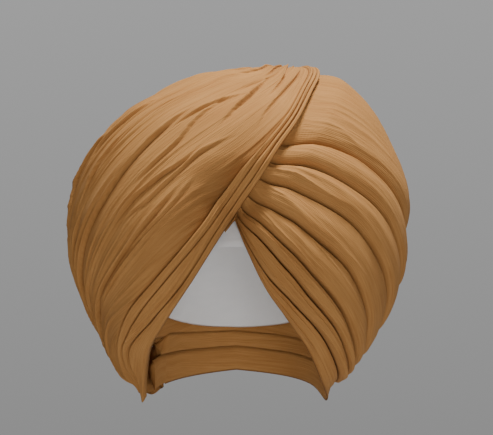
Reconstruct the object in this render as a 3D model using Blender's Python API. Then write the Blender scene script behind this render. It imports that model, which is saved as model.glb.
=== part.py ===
"""A tied turban: white under-turban, wound inner layers, stacked side folds and the outer wrap.

Metres, +Z up, the face looks to -Y. The origin is the top of the hollow for the head.
Every surface is a distance along a ray that leaves one point inside the head, the heart.
A ray has an azimuth (0 at the brow, 90 at the wearer's left ear) and an elevation. A place on
the wraps is an azimuth and a rise: 0 at the lower rim, 1 at the crown.
"""
import math

import bpy
import numpy as np
from mathutils import Vector
from mathutils.geometry import tessellate_polygon

MM = 0.001
FULL_TURN = 360

# The head
HEAD_WIDTH = 148 * MM
HEAD_LENGTH = 194 * MM
HEAD_DOME = 95 * MM
DOME_POWER = 2.3
HEART_DROP = 42 * MM
HALVINGS = 40

# The under-turban
CAP_WALL = 2 * MM
CAP_SLACK = 2.2 * MM
CAP_BROW_DROP = 51.5 * MM
CAP_NAPE_DROP = 125 * MM
CAP_SIDES = 36
CAP_RINGS = 7

# The wraps
WRAP_DEPTH = 80 * MM
RIM_THICKNESS = 8 * MM
RIM_ROUNDING = 34 * MM
RIM_STEP_DEGREES = 3
PEAK_DROP = 31 * MM
EAR_DROP = 171 * MM
GAP = 0.4 * MM
FACET_ROOM = 2 * MM

# The stacked folds on the wearer's left
LARH_DEPTH = 20 * MM
LARH_DEPTH_SHARE = 0.72
CREASE_DEPTH = 8.5 * MM
CREASE_WIDTH_SHARE = 0.4
CREASE_DEPTH_SHARE = 0.3
PRESS_DEPTH = 7.5 * MM
PRESS_DEPTH_SHARE = 0.38
PUFF_LENGTH = 24 * MM
CROWN_TUCK = 0.05
CROWN_PRESS = 0.65
CROWN_FROM = 0.5
CROWN_BLEND = 0.2
TAIL_TURNS = (142, 180)
TAIL_CLEARANCE = 5
CLOSEST_TURNS = 0.5
TAIL_LEVEL = 0.60
CROWN_CELLS = 6
CORE_MIN_WALL = 2.5 * MM
CORE_CROWN_RINGS = 5

# The outer wrap and the pleats of its edge
OUTER_WALL = 3 * MM
PLEATS = 3
CORE_BAND = 24 * MM
PLEAT_THICKNESS = 5 * MM
PLEAT_RELIEF = 1.8 * MM
EDGE_LIFT = 6 * MM
LIFT_REACH = 0.16
GATHER_HEIGHT = 3 * MM
GATHER_FADE = 0.15
STEPS_PER_ROW = 2
TURN_WINDOW = 0.8
OUTER_COLUMNS = 24

# Depth of the wraps beyond the head, as shares of WRAP_DEPTH
# elevation, front, right, back, left
BODY = np.array([
    (-60, 0.10, 0.13, 0.06, 0.16),
    (-52, 0.13, 0.385, 0.16, 0.42),
    (-45, 0.16, 0.555, 0.26, 0.54),
    (-30, 0.31, 0.76, 0.60, 0.66),
    (-15, 0.40, 0.90, 0.78, 0.83),
    (0, 0.54, 1.01, 0.94, 0.95),
    (15, 0.69, 1.145, 1.08, 1.025),
    (30, 0.90, 1.22, 1.18, 1.08),
    (45, 1.08, 1.33, 1.24, 1.12),
    (60, 1.15, 1.385, 1.25, 1.12),
    (75, 1.19, 1.29, 1.22, 1.175),
    (90, 1.20, 1.20, 1.20, 1.20),
])

# How far the rim has come down from the peak to the ears, as shares
# azimuth either way, share on the wearer's right, share on the wearer's left
RIM = np.array([
    (0, 0.0, 0.0),
    (6, 0.08, 0.17),
    (12, 0.165, 0.325),
    (24, 0.40, 0.515),
    (40, 0.60, 0.70),
    (60, 0.785, 0.905),
    (80, 0.96, 1.01),
    (90, 1.05, 1.035),
    (100, 1.05, 1.05),
    (130, 0.99, 0.98),
    (180, 0.92, 0.92),
])

# Rises of the creases between the stacked folds, and of the same levels round the rest
# azimuth, crease 1 to crease 7
CREASES = np.array([
    (-20, 0.030, 0.055, 0.110, 0.200, 0.310, 0.400, 0.490),
    (-5, 0.022, 0.050, 0.110, 0.200, 0.310, 0.400, 0.490),
    (0, 0.022, 0.060, 0.135, 0.220, 0.330, 0.410, 0.500),
    (5, 0.032, 0.105, 0.175, 0.255, 0.350, 0.425, 0.510),
    (10, 0.045, 0.145, 0.205, 0.285, 0.370, 0.440, 0.520),
    (20, 0.060, 0.145, 0.205, 0.300, 0.395, 0.465, 0.540),
    (30, 0.066, 0.125, 0.185, 0.290, 0.400, 0.485, 0.560),
    (45, 0.064, 0.108, 0.155, 0.260, 0.380, 0.475, 0.560),
    (60, 0.054, 0.086, 0.121, 0.195, 0.323, 0.434, 0.525),
    (75, 0.042, 0.067, 0.092, 0.132, 0.248, 0.360, 0.458),
    (90, 0.034, 0.056, 0.078, 0.097, 0.165, 0.280, 0.396),
    (120, 0.034, 0.058, 0.083, 0.110, 0.185, 0.295, 0.410),
    (150, 0.036, 0.063, 0.091, 0.128, 0.220, 0.325, 0.440),
    (180, 0.038, 0.068, 0.100, 0.145, 0.240, 0.345, 0.465),
    (210, 0.040, 0.073, 0.110, 0.170, 0.270, 0.375, 0.500),
    (240, 0.042, 0.078, 0.118, 0.180, 0.280, 0.385, 0.500),
    (290, 0.042, 0.070, 0.118, 0.200, 0.300, 0.400, 0.500),
    (340, 0.030, 0.055, 0.110, 0.200, 0.310, 0.400, 0.490),
])

# Azimuths where each stacked fold starts and ends, both hidden under the outer wrap
LARH_SPANS = [
    (-5, 240),
    (-5, 230),
    (-5, 230),
    (0, 230),
    (0, 230),
    (5, 220),
    (10, 210),
    (20, 200),
]

# Stations round the turban, closer together where the folds come out at the front
STATIONS = [-5, 0, 5, 10, 15] + list(range(20, FULL_TURN, 10))

# Section of a fold from its lower lip up: share of its width, share of the crease's depth
LARH_SECTION = [
    (0.0, 1.0),
    (0.07, 0.45),
    (0.20, 0.06),
    (0.42, 0.0),
    (0.72, 0.30),
    (1.0, 1.0),
]

# Section of the broad crown fold
CROWN_SECTION = [
    (0.0, 1.0),
    (0.025, 0.45),
    (0.07, 0.06),
    (0.147, 0.0),
    (0.35, 0.02),
    (0.55, 0.0),
    (0.75, 0.05),
    (1.0, 0.15),
]

# Section of a pleat: share of its width, height in shares of the relief
PLEAT_SECTION = [
    (0.0, -0.8),
    (0.3, 0.4),
    (0.7, -0.1),
    (1.0, -0.8),
]

# Course of the outer wrap from the ear over the crown to its tuck at the back
# front edge azimuth and rise, middle azimuth and rise, back edge azimuth and rise,
# edges of the three pleats from the front edge in millimetres, lift of the front and back edges
COURSE = np.array([
    (-89, 0.00, -110, 0.00, -134, 0.00, 3, 6, 9, 0.0, 0.8),
    (-74, 0.00, -104, 0.10, -138, 0.10, 8, 12, 16, 0.0, 0.8),
    (-54, 0.01, -97, 0.20, -143, 0.20, 13, 17.5, 22.5, 0.0, 0.5),
    (-36, 0.01, -91, 0.30, -148, 0.30, 8.5, 18.5, 25.5, 0.1, 0.3),
    (-20, 0.00, -85, 0.39, -153, 0.385, 4.2, 14.5, 20, 0.4, 0.2),
    (-8, 0.00, -79, 0.47, -158, 0.46, 3.6, 8.8, 13.4, 0.9, 0.1),
    (-1.5, 0.02, -72, 0.55, -163, 0.53, 3.6, 7.9, 12.2, 1.0, 0.0),
    (3.5, 0.17, -64, 0.63, -167, 0.57, 4.2, 9, 13.8, 0.8, 0.0),
    (10, 0.352, -54, 0.71, -170, 0.59, 4.4, 9.8, 15, 0.3, 0.0),
    (18, 0.50, -40, 0.79, -173, 0.60, 3.6, 7.2, 10.8, 0.2, 0.0),
    (28, 0.61, -15, 0.87, -176, 0.605, 3.2, 6.4, 9.6, 0.1, 0.0),
    (43, 0.72, 40, 0.93, -179, 0.605, 3.1, 6.2, 9.3, 0.0, 0.0),
    (62, 0.787, 98, 0.94, 178, 0.60, 3.1, 6.2, 9.3, 0.0, 0.0),
    (84, 0.825, 124, 0.90, 176, 0.595, 3.1, 6.2, 9.3, 0.0, 0.0),
    (106, 0.835, 142, 0.85, 175, 0.585, 3.1, 6.2, 9.3, 0.0, 0.0),
    (126, 0.80, 154, 0.77, 174.5, 0.57, 3.1, 6.2, 9.3, 0.0, 0.0),
    (140, 0.73, 162, 0.69, 174.5, 0.55, 3.1, 6.2, 9.3, 0.0, 0.0),
    (149, 0.64, 166.5, 0.605, 175, 0.53, 3.1, 6.2, 9.3, 0.0, 0.0),
    (154, 0.55, 169, 0.53, 175.5, 0.505, 3, 6, 9, 0.0, 0.0),
    (156, 0.47, 170, 0.465, 176, 0.46, 3, 6, 9, 0.0, 0.0),
])

# Main gathers of the outer wrap
# place across, half width across, height share, first and last place along
GATHERS = [
    (0.05, 0.06, 0.9, 0.10, 0.75),
    (0.19, 0.06, 0.8, 0.05, 0.90),
    (0.31, 0.06, 1.0, 0.05, 0.80),
    (0.44, 0.07, 0.8, 0.10, 0.90),
    (0.60, 0.08, 0.9, 0.05, 0.85),
    (0.78, 0.09, 0.9, 0.05, 0.80),
    (0.95, 0.08, 0.7, 0.05, 0.85),
]


def through(places, values, at):
    """A smooth curve through the rows of a table, read at other places."""
    values = np.asarray(values, float)
    at = np.clip(at, places[0], places[-1])
    slopes = np.gradient(values, places, axis=0)
    row = np.clip(np.searchsorted(places, at, side="right") - 1, 0, len(places) - 2)
    step = places[row + 1] - places[row]
    share = (at - places[row]) / step
    if values.ndim > 1:
        step = step[..., None]
        share = share[..., None]
    start = (1 + 2 * share) * (1 - share) ** 2 * values[row]
    leave = share * (1 - share) ** 2 * step * slopes[row]
    end = share ** 2 * (3 - 2 * share) * values[row + 1]
    arrive = share ** 2 * (share - 1) * step * slopes[row + 1]
    return start + leave + end + arrive


def smooth_step(share):
    share = np.clip(share, 0, 1)
    return share * share * (3 - 2 * share)


def unit(vectors):
    return vectors / np.linalg.norm(vectors, axis=-1)[..., None]


def ray(azimuth, elevation):
    """Unit direction of a ray."""
    level = np.cos(elevation)
    return np.stack([np.sin(azimuth) * level, -np.cos(azimuth) * level, np.sin(elevation)], -1)


def angles(direction):
    """Azimuth and elevation of a direction."""
    length = np.linalg.norm(direction, axis=-1)
    azimuth = np.arctan2(direction[..., 0], -direction[..., 1])
    return azimuth, np.arcsin(np.clip(direction[..., 2] / length, -1, 1))


def spot(azimuth, elevation, radius):
    """The point at a distance along a ray from the heart."""
    point = ray(azimuth, elevation) * radius[..., None]
    point[..., 2] -= HEART_DROP
    return point


def head_reach(azimuth, height):
    """Half width of the head in one direction at one height."""
    across = np.sin(azimuth) / (HEAD_WIDTH / 2)
    along = np.cos(azimuth) / (HEAD_LENGTH / 2)
    up = np.clip(1 + height / HEAD_DOME, 0, 1)
    return (1 - up ** DOME_POWER) ** (1 / DOME_POWER) / np.sqrt(across ** 2 + along ** 2)


def head_radius(azimuth, elevation):
    """Distance from the heart to the head, by halving."""
    azimuth, elevation = np.broadcast_arrays(azimuth, elevation)
    near = np.zeros(azimuth.shape)
    far = np.full(azimuth.shape, 2 * HEAD_LENGTH + EAR_DROP)
    for _ in range(HALVINGS):
        middle = (near + far) / 2
        height = middle * np.sin(elevation) - HEART_DROP
        level = middle * np.cos(elevation)
        inside = (height < 0) & (level < head_reach(azimuth, np.minimum(height, 0)))
        near = np.where(inside, middle, near)
        far = np.where(inside, far, middle)
    return near


def seat_radius(azimuth, elevation):
    """Inside of the wraps, just over the under-turban."""
    return head_radius(azimuth, elevation) + CAP_WALL + CAP_SLACK


def rim_elevation(azimuth):
    """Elevation of the lower rim, from the peak over the brow to the ears and the nape."""
    turn = np.arctan2(np.sin(azimuth), np.cos(azimuth))
    away = np.abs(np.degrees(turn))
    share = np.where(turn < 0, through(RIM[:, 0], RIM[:, 1], away), through(RIM[:, 0], RIM[:, 2], away))
    height = -(PEAK_DROP + (EAR_DROP - PEAK_DROP) * share)
    return np.arctan2(height + HEART_DROP, head_reach(azimuth, height))


def elevation_at(azimuth, rise):
    rim = rim_elevation(azimuth)
    return rim + (math.pi / 2 - rim) * rise


def distance_to_line(places, line):
    """Shortest distance from places to points joined by straight stretches."""
    start = line[:-1]
    step = line[1:] - start
    offset = places[..., None, :] - start
    share = np.clip((offset * step).sum(-1) / (step * step).sum(-1), 0, 1)
    return np.linalg.norm(offset - share[..., None] * step, axis=-1).min(-1)


def above_rim(azimuth, elevation):
    """Distance from the rim, measured along the edge's own thickness; zero below the rim."""
    turns = np.radians(np.arange(-180, 180 + RIM_STEP_DEGREES, RIM_STEP_DEGREES))
    height = rim_elevation(turns)
    rim = spot(turns, height, head_radius(turns, height) + RIM_THICKNESS)
    place = spot(azimuth, elevation, head_radius(azimuth, elevation) + RIM_THICKNESS)
    return np.where(elevation > rim_elevation(azimuth), distance_to_line(place, rim), 0)


def body_radius(azimuth, elevation):
    """Outside of the wraps without their folds."""
    cos = np.cos(azimuth)
    sin = np.sin(azimuth)
    front = np.where(cos > 0, cos * cos, 0)
    back = np.where(cos <= 0, cos * cos, 0)
    right = np.where(sin > 0, sin * sin, 0)
    left = np.where(sin <= 0, sin * sin, 0)
    shares = through(BODY[:, 0], BODY[:, 1:], np.degrees(elevation))
    share = (shares * np.stack([front, right, back, left], -1)).sum(-1)
    rounding = np.sin(np.clip(above_rim(azimuth, elevation) / RIM_ROUNDING, 0, 1) * math.pi / 2)
    beyond_head = RIM_THICKNESS + (WRAP_DEPTH * share - RIM_THICKNESS) * rounding
    return head_radius(azimuth, elevation) + beyond_head


def room(azimuth, elevation):
    """Thickness of all the wraps at one place."""
    return body_radius(azimuth, elevation) - seat_radius(azimuth, elevation)


def crease_rise(level, azimuth):
    """Rise of a crease between the stacked folds; level 0 is the rim, level 8 the crown fold's top."""
    degrees = np.degrees(azimuth)
    if level == 0:
        return np.zeros(np.shape(azimuth))
    if level == len(LARH_SPANS):
        beside_tail = (degrees > TAIL_TURNS[0]) & (degrees < TAIL_TURNS[1])
        return np.maximum(cover_rise(azimuth), np.where(beside_tail, TAIL_LEVEL, 0)) + CROWN_TUCK
    return through(CREASES[:, 0], CREASES[:, level], degrees)


def cover_line():
    """The outer wrap's edge where it lies over the stacked folds: azimuths in degrees and rises."""
    front = np.concatenate([COURSE[6:, 0:2], COURSE[-1:, 2:4]])
    back = COURSE[:, 4:6][::-1].copy()
    back[:, 0] = np.where(back[:, 0] < 0, back[:, 0] + FULL_TURN, back[:, 0])
    back = back[back[:, 0] > front[-1, 0] + TAIL_CLEARANCE]
    line = np.concatenate([front, back])
    order = np.argsort(line[:, 0], kind="stable")
    line = line[order]
    keep = np.concatenate([[True], np.diff(line[:, 0]) > CLOSEST_TURNS])
    return line[keep]


def cover_rise(azimuth):
    line = cover_line()
    return through(line[:, 0], line[:, 1], np.degrees(azimuth))


def under_wrap(azimuth, rise):
    """Signed distance past the outer wrap's edge, positive under the wrap."""
    line = cover_line()
    turns = np.radians(np.arange(line[0, 0], line[-1, 0], RIM_STEP_DEGREES))
    rises = through(line[:, 0], line[:, 1], np.degrees(turns))
    edge = spot(turns, elevation_at(turns, rises), body_radius(turns, elevation_at(turns, rises)))
    elevation = elevation_at(azimuth, rise)
    place = spot(azimuth, elevation, body_radius(azimuth, elevation))
    distance = distance_to_line(place, edge)
    degrees = np.degrees(azimuth)
    inside = (rise > cover_rise(azimuth)) | (degrees > line[-1, 0]) | (degrees < line[0, 0])
    return np.where(inside, distance, -distance)


def press(azimuth, rise):
    """How far the folds are pressed in where they come out from under the outer wrap."""
    elevation = elevation_at(azimuth, rise)
    most = np.minimum(PRESS_DEPTH, PRESS_DEPTH_SHARE * room(azimuth, elevation))
    most = most * (1 + (CROWN_PRESS - 1) * smooth_step((rise - CROWN_FROM) / CROWN_BLEND))
    return most * smooth_step(1 + under_wrap(azimuth, rise) / PUFF_LENGTH)


def larh_floor(azimuth, rise):
    """Underside of a stacked fold that lies on the inner wraps."""
    elevation = elevation_at(azimuth, rise)
    depth = np.minimum(LARH_DEPTH, LARH_DEPTH_SHARE * room(azimuth, elevation))
    return body_radius(azimuth, elevation) - depth


def oriented(points, faces):
    """Faces turned so that they look outward."""
    corners = points[np.array(faces)]
    volume = np.einsum("ij,ij->i", corners[:, 0], np.cross(corners[:, 1], corners[:, 2])).sum()
    if volume < 0:
        return [face[::-1] for face in faces]
    return faces


def add_body(name, points, faces, finish):
    points = np.asarray(points, float)
    faces = oriented(points, faces)
    mesh = bpy.data.meshes.new(name)
    mesh.from_pydata([tuple(point) for point in points.tolist()], [], faces)
    mesh.materials.append(finish)
    body = bpy.data.objects.new(name, mesh)
    bpy.context.scene.collection.objects.link(body)
    return body


def quad(first, second, third, fourth, turned):
    """Two triangles of a four-cornered cell, with the cut one way or the other."""
    if turned:
        return [(first, second, fourth), (second, third, fourth)]
    return [(first, second, third), (first, third, fourth)]


def end_face(section):
    """Triangles that close one section, all turned the way its corners run."""
    whole = np.cross(section, np.roll(section, -1, axis=0)).sum(0)
    faces = []
    for a, b, c in tessellate_polygon([[Vector(corner) for corner in section]]):
        turn = np.cross(section[b] - section[a], section[c] - section[a])
        faces.append((a, b, c) if turn @ whole > 0 else (a, c, b))
    return faces


def strip_body(name, rings, finish, turned):
    """A closed body through sections with the same count of corners."""
    count, corners = rings.shape[:2]
    faces = []
    for ring in range(count - 1):
        here = ring * corners
        there = here + corners
        for corner in range(corners):
            following = (corner + 1) % corners
            faces += quad(here + corner, there + corner, there + following, here + following,
                          corner in turned)
    last = (count - 1) * corners
    faces += end_face(rings[0])
    faces += [(last + c, last + b, last + a) for a, b, c in end_face(rings[-1])]
    return add_body(name, rings.reshape(-1, 3), faces, finish)


def sheet_body(name, outer, inner, finish):
    """A closed body between two grids of points."""
    rows, columns = outer.shape[:2]
    points = np.concatenate([outer.reshape(-1, 3), inner.reshape(-1, 3)])
    below = rows * columns
    faces = []
    for row in range(rows - 1):
        for column in range(columns - 1):
            a = row * columns + column
            d = a + 1
            b = a + columns
            c = b + 1
            faces += quad(a, b, c, d, False)
            faces += [face[::-1] for face in quad(a + below, b + below, c + below, d + below, False)]
    border = [column for column in range(columns - 1)]
    border += [row * columns + columns - 1 for row in range(rows - 1)]
    border += [rows * columns - 1 - column for column in range(columns - 1)]
    border += [(rows - 1 - row) * columns for row in range(rows - 1)]
    for here, there in zip(border, border[1:] + border[:1]):
        faces += quad(here, there, there + below, here + below, False)
    return add_body(name, points, faces, finish)


def dome_body(name, outer, inner, finish):
    """A closed dome between two grids of rings; each grid ends in its crown point."""
    rings, sides = outer.shape[:2]
    top = np.zeros((2, 3))
    top[0, 2] = crown_height(outer)
    top[1, 2] = crown_height(inner)
    points = np.concatenate([outer.reshape(-1, 3), inner.reshape(-1, 3), top])
    below = rings * sides
    crown = 2 * below
    faces = []
    for side in range(sides):
        beside = (side + 1) % sides
        for ring in range(rings - 1):
            a = ring * sides + side
            d = (ring + 1) * sides + side
            b = ring * sides + beside
            c = (ring + 1) * sides + beside
            faces += quad(a, b, c, d, False)
            faces += [face[::-1] for face in quad(a + below, b + below, c + below, d + below, False)]
        last = (rings - 1) * sides
        faces.append((last + side, last + beside, crown))
        faces.append((last + beside + below, last + side + below, crown + 1))
        faces += quad(side + below, beside + below, beside, side, False)
    return add_body(name, points, faces, finish)


def crown_height(grid):
    """Height of a dome's crown point, a little over its last ring."""
    last = grid[-1]
    before = grid[-2]
    slope = (last[:, 2].mean() - before[:, 2].mean()) / (
        np.hypot(before[:, 0], before[:, 1]).mean() - np.hypot(last[:, 0], last[:, 1]).mean())
    return last[:, 2].mean() + slope * np.hypot(last[:, 0], last[:, 1]).mean() / 3


def cloth(name, colour, roughness):
    finish = bpy.data.materials.new(name)
    finish.use_nodes = True
    shader = finish.node_tree.nodes["Principled BSDF"]
    shader.inputs["Base Color"].default_value = (*colour, 1.0)
    shader.inputs["Roughness"].default_value = roughness
    return finish


def build_under_turban(finish):
    """The cap: a thin dome down to a hem that slopes from the brow to the nape."""
    azimuth = np.radians(np.arange(CAP_SIDES) * FULL_TURN / CAP_SIDES)
    nape = (1 - np.cos(azimuth)) / 2
    height = -(CAP_BROW_DROP + (CAP_NAPE_DROP - CAP_BROW_DROP) * nape)
    hem = np.arctan2(height + HEART_DROP, head_reach(azimuth, height))
    share = np.arange(CAP_RINGS)[:, None] / CAP_RINGS
    elevation = hem + (math.pi / 2 - hem) * share
    azimuth = azimuth + 0 * elevation
    head = head_radius(azimuth, elevation)
    outer = spot(azimuth, elevation, head + CAP_WALL)
    inner = spot(azimuth, elevation, head)
    return dome_body("under_turban", outer, inner, finish)


def core_radius(azimuth, rise, under_larhs):
    """Outside of the inner wraps: low under the stacked folds, close under the outer wrap."""
    elevation = elevation_at(azimuth, rise)
    body = body_radius(azimuth, elevation)
    past_edge = np.minimum(above_rim(azimuth, elevation), np.abs(under_wrap(azimuth, rise)))
    inside = smooth_step((past_edge - CORE_BAND - PLEAT_THICKNESS) / CORE_BAND)
    under_pleats = PLEAT_THICKNESS + PLEAT_RELIEF + FACET_ROOM
    depth = under_pleats + (OUTER_WALL + FACET_ROOM - under_pleats) * inside
    close = body - depth
    low = larh_floor(azimuth, rise) - GAP
    radius = np.where(under_larhs, low, close)
    return np.maximum(radius, seat_radius(azimuth, elevation) + CORE_MIN_WALL)


def build_inner_wraps(finish):
    """The wound layers, from the second crease up to the crown."""
    degrees = np.array(STATIONS, float)
    azimuth = np.radians(degrees)
    levels = range(2, len(LARH_SPANS))
    rises = [crease_rise(level, azimuth) for level in levels]
    under = []
    for level in levels:
        starts = min(LARH_SPANS[level - 1][0], LARH_SPANS[level][0])
        ends = max(LARH_SPANS[level - 1][1], LARH_SPANS[level][1])
        under.append((degrees >= starts) & (degrees <= ends))
    crown_start, crown_end = LARH_SPANS[-1]
    near_crown_fold = (degrees >= crown_start) & (degrees <= crown_end)
    reach = np.where(near_crown_fold, crease_rise(len(LARH_SPANS), azimuth), 0)
    reach = np.maximum(reach, np.maximum(np.roll(reach, 1), np.roll(reach, -1)))
    for ring in range(1, CORE_CROWN_RINGS):
        before = rises[-1]
        rises.append(rises[len(levels) - 1] + (1 - rises[len(levels) - 1]) * ring / CORE_CROWN_RINGS)
        under.append(near_crown_fold & (before < reach))
    rise = np.array(rises)
    azimuth = azimuth + 0 * rise
    elevation = elevation_at(azimuth, rise)
    outer = spot(azimuth, elevation, core_radius(azimuth, rise, np.array(under)))
    inner = spot(azimuth, elevation, seat_radius(azimuth, elevation))
    return dome_body("inner_wraps", outer, inner, finish)


def larh_stations(number):
    start, end = LARH_SPANS[number]
    return np.radians([float(degrees) for degrees in STATIONS if start <= degrees <= end])


def build_larh(number, finish):
    """One stacked fold: a padded strip with a round lower lip and a long upper slope."""
    azimuth = larh_stations(number)
    crown = number == len(LARH_SPANS) - 1
    low = crease_rise(number, azimuth)
    high = crease_rise(number + 1, azimuth)
    body = body_radius(azimuth, elevation_at(azimuth, low))
    span = (math.pi / 2 - rim_elevation(azimuth)) * body
    low = low + (GAP / 2) / span
    high = high - (GAP / 2) / span
    width = (high - low) * span
    section = CROWN_SECTION if crown else LARH_SECTION
    rings = []
    for share, dip in [(0.0, None)] + section + [(1.0, None)]:
        rise = low + (high - low) * share
        elevation = elevation_at(azimuth, rise)
        if dip is None:
            radius = seat_radius(azimuth, elevation) if number < 2 else larh_floor(azimuth, rise)
            radius = radius + FACET_ROOM * share * crown
        else:
            crease = np.minimum(CREASE_DEPTH, CREASE_WIDTH_SHARE * width)
            crease = np.minimum(crease, CREASE_DEPTH_SHARE * room(azimuth, elevation))
            radius = body_radius(azimuth, elevation) - press(azimuth, rise) - crease * dip
        rings.append(spot(azimuth, elevation, radius))
    inner_cells = CROWN_CELLS if crown else 1
    for cell in range(inner_cells - 1, 0, -1):
        rise = low + (high - low) * cell / inner_cells
        radius = larh_floor(azimuth, rise) + FACET_ROOM
        rings.append(spot(azimuth, elevation_at(azimuth, rise), radius))
    upper_wall = len(section)
    turned = range(upper_wall, len(rings))
    return strip_body(f"larh_{number + 1}", np.stack(rings, 1), finish, turned)


def course_values(column, places):
    """One plain column of the outer wrap's course, read between its rows."""
    return through(np.arange(len(COURSE), dtype=float), COURSE[:, column], places)


def course_line(column, places):
    """Directions along the course: column 0 is the front edge, 2 the middle and 4 the back edge."""
    azimuth = np.radians(COURSE[:, column])
    rows = ray(azimuth, elevation_at(azimuth, COURSE[:, column + 1]))
    return unit(through(np.arange(len(COURSE), dtype=float), rows, places))


def beside_edge(places, distance):
    """Directions at a distance across from the front edge, towards the middle of the wrap."""
    ahead = np.minimum(places + TURN_WINDOW, len(COURSE) - 1)
    behind = np.maximum(places - TURN_WINDOW, 0)
    direction = course_line(0, places)
    across = unit(np.cross(direction, course_line(0, ahead) - course_line(0, behind)))
    azimuth, elevation = angles(direction)
    return unit(direction + across * (distance / body_radius(azimuth, elevation))[:, None])


def pleat_edge(number, places):
    """Distance of a pleat's far edge from the wrap's front edge; number 0 is the front edge itself."""
    if number == 0:
        return 0 * places
    return MM * course_values(5 + number, places)


def course_places():
    return np.linspace(0, len(COURSE) - 1, (len(COURSE) - 1) * STEPS_PER_ROW + 1)


def build_edge_pleat(number, finish):
    """One narrow pleat that runs along the whole front edge."""
    places = course_places()
    lift = EDGE_LIFT * course_values(9, places)
    start = pleat_edge(number, places) + GAP / 2
    width = pleat_edge(number + 1, places) - start - GAP / 2
    rings = []
    corners = [(0.0, None)] + PLEAT_SECTION + [(1.0, None)]
    for share, height in corners:
        direction = beside_edge(places, start + width * share)
        azimuth, elevation = angles(direction)
        rise = -PLEAT_THICKNESS if height is None else PLEAT_RELIEF * height
        radius = body_radius(azimuth, elevation) + lift + rise
        rings.append(spot(azimuth, elevation, radius))
    return strip_body(f"edge_pleat_{number + 1}", np.stack(rings, 1), finish, [len(PLEAT_SECTION)])


def gather_height(along, across):
    """Height of the main gathers at one place on the outer wrap, both places from 0 to 1."""
    height = np.zeros(np.broadcast(along, across).shape)
    for place, half_width, share, first, last in GATHERS:
        ridge = smooth_step(1 - np.abs(across - place) / half_width)
        fade = smooth_step((along - first) / GATHER_FADE) * smooth_step((last - along) / GATHER_FADE)
        height = np.maximum(height, GATHER_HEIGHT * share * ridge * fade)
    return height


def build_outer_wrap(finish):
    """The broad last wrap, with its main gathers."""
    places = course_places()
    front = beside_edge(places, pleat_edge(PLEATS, places) + GAP)
    middle = course_line(2, places)
    back = course_line(4, places)
    across = np.linspace(0, 1, OUTER_COLUMNS + 1)[None, :, None]
    direction = (front[:, None] * (1 - across) * (1 - 2 * across)
                 + middle[:, None] * 4 * across * (1 - across)
                 + back[:, None] * across * (2 * across - 1))
    azimuth, elevation = angles(direction)
    across = across[..., 0]
    lift = EDGE_LIFT * course_values(9, places)[:, None] * smooth_step(1 - across / LIFT_REACH)
    lift = lift + EDGE_LIFT * course_values(10, places)[:, None] * smooth_step(1 - (1 - across) / LIFT_REACH)
    along = (places / places[-1])[:, None]
    radius = body_radius(azimuth, elevation) + lift + gather_height(along, across)
    outer = spot(azimuth, elevation, radius)
    inner = spot(azimuth, elevation, radius - OUTER_WALL)
    return sheet_body("outer_wrap", outer, inner, finish)


def main():
    for thing in list(bpy.data.objects):
        bpy.data.objects.remove(thing, do_unlink=True)
    brown = cloth("brown_muslin", (0.36, 0.19, 0.085), 0.85)
    white = cloth("white_cotton", (0.72, 0.70, 0.68), 0.9)
    build_under_turban(white)
    build_inner_wraps(brown)
    for number in range(len(LARH_SPANS)):
        build_larh(number, brown)
    build_outer_wrap(brown)
    for number in range(PLEATS):
        build_edge_pleat(number, brown)


main()
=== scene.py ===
# %% [markdown]
# # A tied turban, dressed in brown muslin
#
# The turban is one long cloth wound round the head. From the front it shows a broad outer wrap, a
# band of narrow pleats along that wrap's edge, a stack of soft folds on the other side, and the
# white under-turban in the peak over the brow.
#
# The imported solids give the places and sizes. Each one is replaced here by a finer surface that is
# worked out in the same way, so that every fold stays in the room that its solid holds.

# %% Load the solids
import math

import bpy
import numpy as np
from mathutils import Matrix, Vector


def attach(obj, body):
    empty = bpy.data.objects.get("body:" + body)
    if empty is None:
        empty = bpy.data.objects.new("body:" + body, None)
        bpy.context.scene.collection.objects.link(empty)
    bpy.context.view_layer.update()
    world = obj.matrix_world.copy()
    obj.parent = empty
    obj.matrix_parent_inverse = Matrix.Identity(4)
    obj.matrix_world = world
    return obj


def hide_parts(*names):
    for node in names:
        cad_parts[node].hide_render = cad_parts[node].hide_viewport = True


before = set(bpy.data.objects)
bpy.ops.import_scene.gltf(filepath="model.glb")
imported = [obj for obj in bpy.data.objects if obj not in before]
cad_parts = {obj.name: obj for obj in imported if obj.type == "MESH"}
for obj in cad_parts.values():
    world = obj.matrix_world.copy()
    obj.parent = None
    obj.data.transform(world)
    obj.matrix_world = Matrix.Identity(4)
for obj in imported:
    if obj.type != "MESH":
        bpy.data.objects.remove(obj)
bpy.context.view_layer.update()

# %% [markdown]
# ## Rays from inside the head
#
# All the cloth lies round the head, so each surface can be given as a distance along a ray that
# leaves one point inside the head, the heart. A ray has an azimuth, 0 at the brow and 90 at the
# wearer's left ear, and an elevation. Two layers can't cross while one distance stays larger.

# %% Rays, curves through tables and soft steps
MM = 0.001
FULL_TURN = 360
HEART_DROP = 42 * MM


def through(places, values, at):
    """A smooth curve through the rows of a table, read at other places."""
    values = np.asarray(values, float)
    at = np.clip(at, places[0], places[-1])
    slopes = np.gradient(values, places, axis=0)
    row = np.clip(np.searchsorted(places, at, side="right") - 1, 0, len(places) - 2)
    step = places[row + 1] - places[row]
    share = (at - places[row]) / step
    if values.ndim > 1:
        step = step[..., None]
        share = share[..., None]
    start = (1 + 2 * share) * (1 - share) ** 2 * values[row]
    leave = share * (1 - share) ** 2 * step * slopes[row]
    end = share ** 2 * (3 - 2 * share) * values[row + 1]
    arrive = share ** 2 * (share - 1) * step * slopes[row + 1]
    return start + leave + end + arrive


def smooth_step(share):
    share = np.clip(share, 0, 1)
    return share * share * (3 - 2 * share)


def rounded(share):
    """Drop of a rounded edge: 1 at its foot and 0 from its top on."""
    return 1 - np.sqrt(1 - (1 - np.clip(share, 0, 1)) ** 2)


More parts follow.
